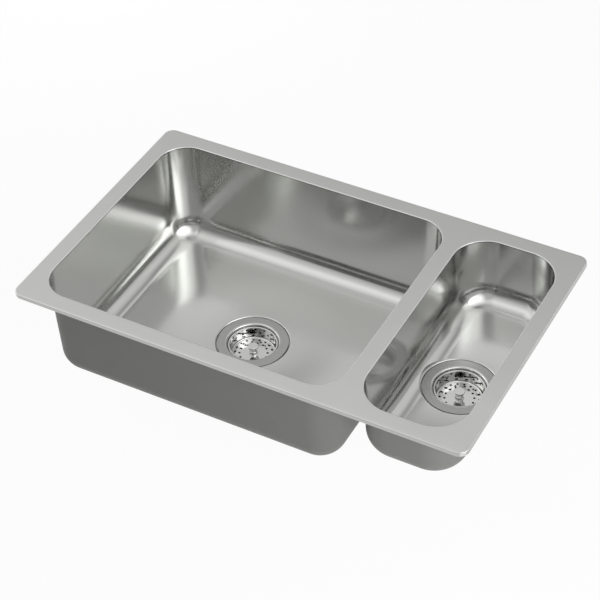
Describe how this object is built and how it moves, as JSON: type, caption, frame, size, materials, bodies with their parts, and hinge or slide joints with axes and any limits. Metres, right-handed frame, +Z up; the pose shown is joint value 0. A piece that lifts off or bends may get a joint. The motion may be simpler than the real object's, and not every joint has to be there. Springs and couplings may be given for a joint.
{
  "type": "one and a half bowl sink",
  "caption": "Inset stainless kitchen sink with a deep main bowl and a shallower half bowl, each with a lift-out basket strainer, held by swing clips under the rim.",
  "frame": {"origin": "middle of the worktop's cut-out, on the worktop's top face, which is the level of the rim's lower edge", "axes": "+X to the right along the front edge, +Y to the back, +Z up"},
  "size_m": [0.75, 0.46, 0.2327],
  "materials": {
    "deck_steel": "satin stainless, brushed along its length",
    "bowl_steel": "pressed stainless, silky half-mirror",
    "strainer_steel": "stainless, fine circular brushing on the flange, bright lip",
    "basket_steel": "polished stainless",
    "nut_zinc": "cast, matt",
    "seal_foam": "closed-cell foam",
    "seal_rubber": "smooth black rubber",
    "friction_fibre": "pressed fibre",
    "clip_steel": "zinc-plated steel"
  },
  "bodies": {
    "sink": {"deck_plate": "deck_steel", "rim_seal": "seal_foam", "main_bowl": "bowl_steel", "main_strainer_body": "strainer_steel", "main_flange_gasket": "seal_rubber", "main_rubber_washer": "seal_rubber", "main_friction_ring": "friction_fibre", "main_locknut": "nut_zinc", "half_bowl": "bowl_steel", "half_strainer_body": "strainer_steel", "half_flange_gasket": "seal_rubber", "half_rubber_washer": "seal_rubber", "half_friction_ring": "friction_fibre", "half_locknut": "nut_zinc", "clip_studs": "clip_steel", "clip_washers": "clip_steel", "clip_nuts": "clip_steel"},
    "main_basket": {"main_basket": "basket_steel", "main_knob": "basket_steel", "main_basket_stem": "strainer_steel", "main_stopper": "seal_rubber", "main_stem_collet": "strainer_steel"},
    "half_basket": {"half_basket": "basket_steel", "half_knob": "basket_steel", "half_basket_stem": "strainer_steel", "half_stopper": "seal_rubber", "half_stem_collet": "strainer_steel"},
    "clip_back_left": {"clip_back_left": "clip_steel"},
    "clip_back_middle": {"clip_back_middle": "clip_steel"},
    "clip_back_right": {"clip_back_right": "clip_steel"},
    "clip_left_rear": {"clip_left_rear": "clip_steel"},
    "clip_left_front": {"clip_left_front": "clip_steel"},
    "clip_right_rear": {"clip_right_rear": "clip_steel"},
    "clip_right_front": {"clip_right_front": "clip_steel"}
  },
  "joints": [
    {"name": "main_basket_lift", "type": "slide", "parent": "sink", "child": "main_basket", "axis": [0, 0, 1], "range_m": [0, 0.25]},
    {"name": "half_basket_lift", "type": "slide", "parent": "sink", "child": "half_basket", "axis": [0, 0, 1], "range_m": [0, 0.19]},
    {"name": "clip_back_left_swing", "type": "hinge", "parent": "sink", "child": "clip_back_left", "pos_m": [-0.263, 0.208, -0.035], "axis": [0, 0, 1], "range_deg": [0, 90]},
    {"name": "clip_back_middle_swing", "type": "hinge", "parent": "sink", "child": "clip_back_middle", "pos_m": [0.073, 0.208, -0.035], "axis": [0, 0, 1], "range_deg": [0, 90]},
    {"name": "clip_back_right_swing", "type": "hinge", "parent": "sink", "child": "clip_back_right", "pos_m": [0.266, 0.208, -0.035], "axis": [0, 0, 1], "range_deg": [0, 90]},
    {"name": "clip_left_rear_swing", "type": "hinge", "parent": "sink", "child": "clip_left_rear", "pos_m": [-0.353, 0.101, -0.035], "axis": [0, 0, 1], "range_deg": [0, 90]},
    {"name": "clip_left_front_swing", "type": "hinge", "parent": "sink", "child": "clip_left_front", "pos_m": [-0.353, -0.101, -0.035], "axis": [0, 0, 1], "range_deg": [0, 90]},
    {"name": "clip_right_rear_swing", "type": "hinge", "parent": "sink", "child": "clip_right_rear", "pos_m": [0.353, 0.101, -0.035], "axis": [0, 0, 1], "range_deg": [0, 90]},
    {"name": "clip_right_front_swing", "type": "hinge", "parent": "sink", "child": "clip_right_front", "pos_m": [0.353, -0.101, -0.035], "axis": [0, 0, 1], "range_deg": [0, 90]}
  ]
}
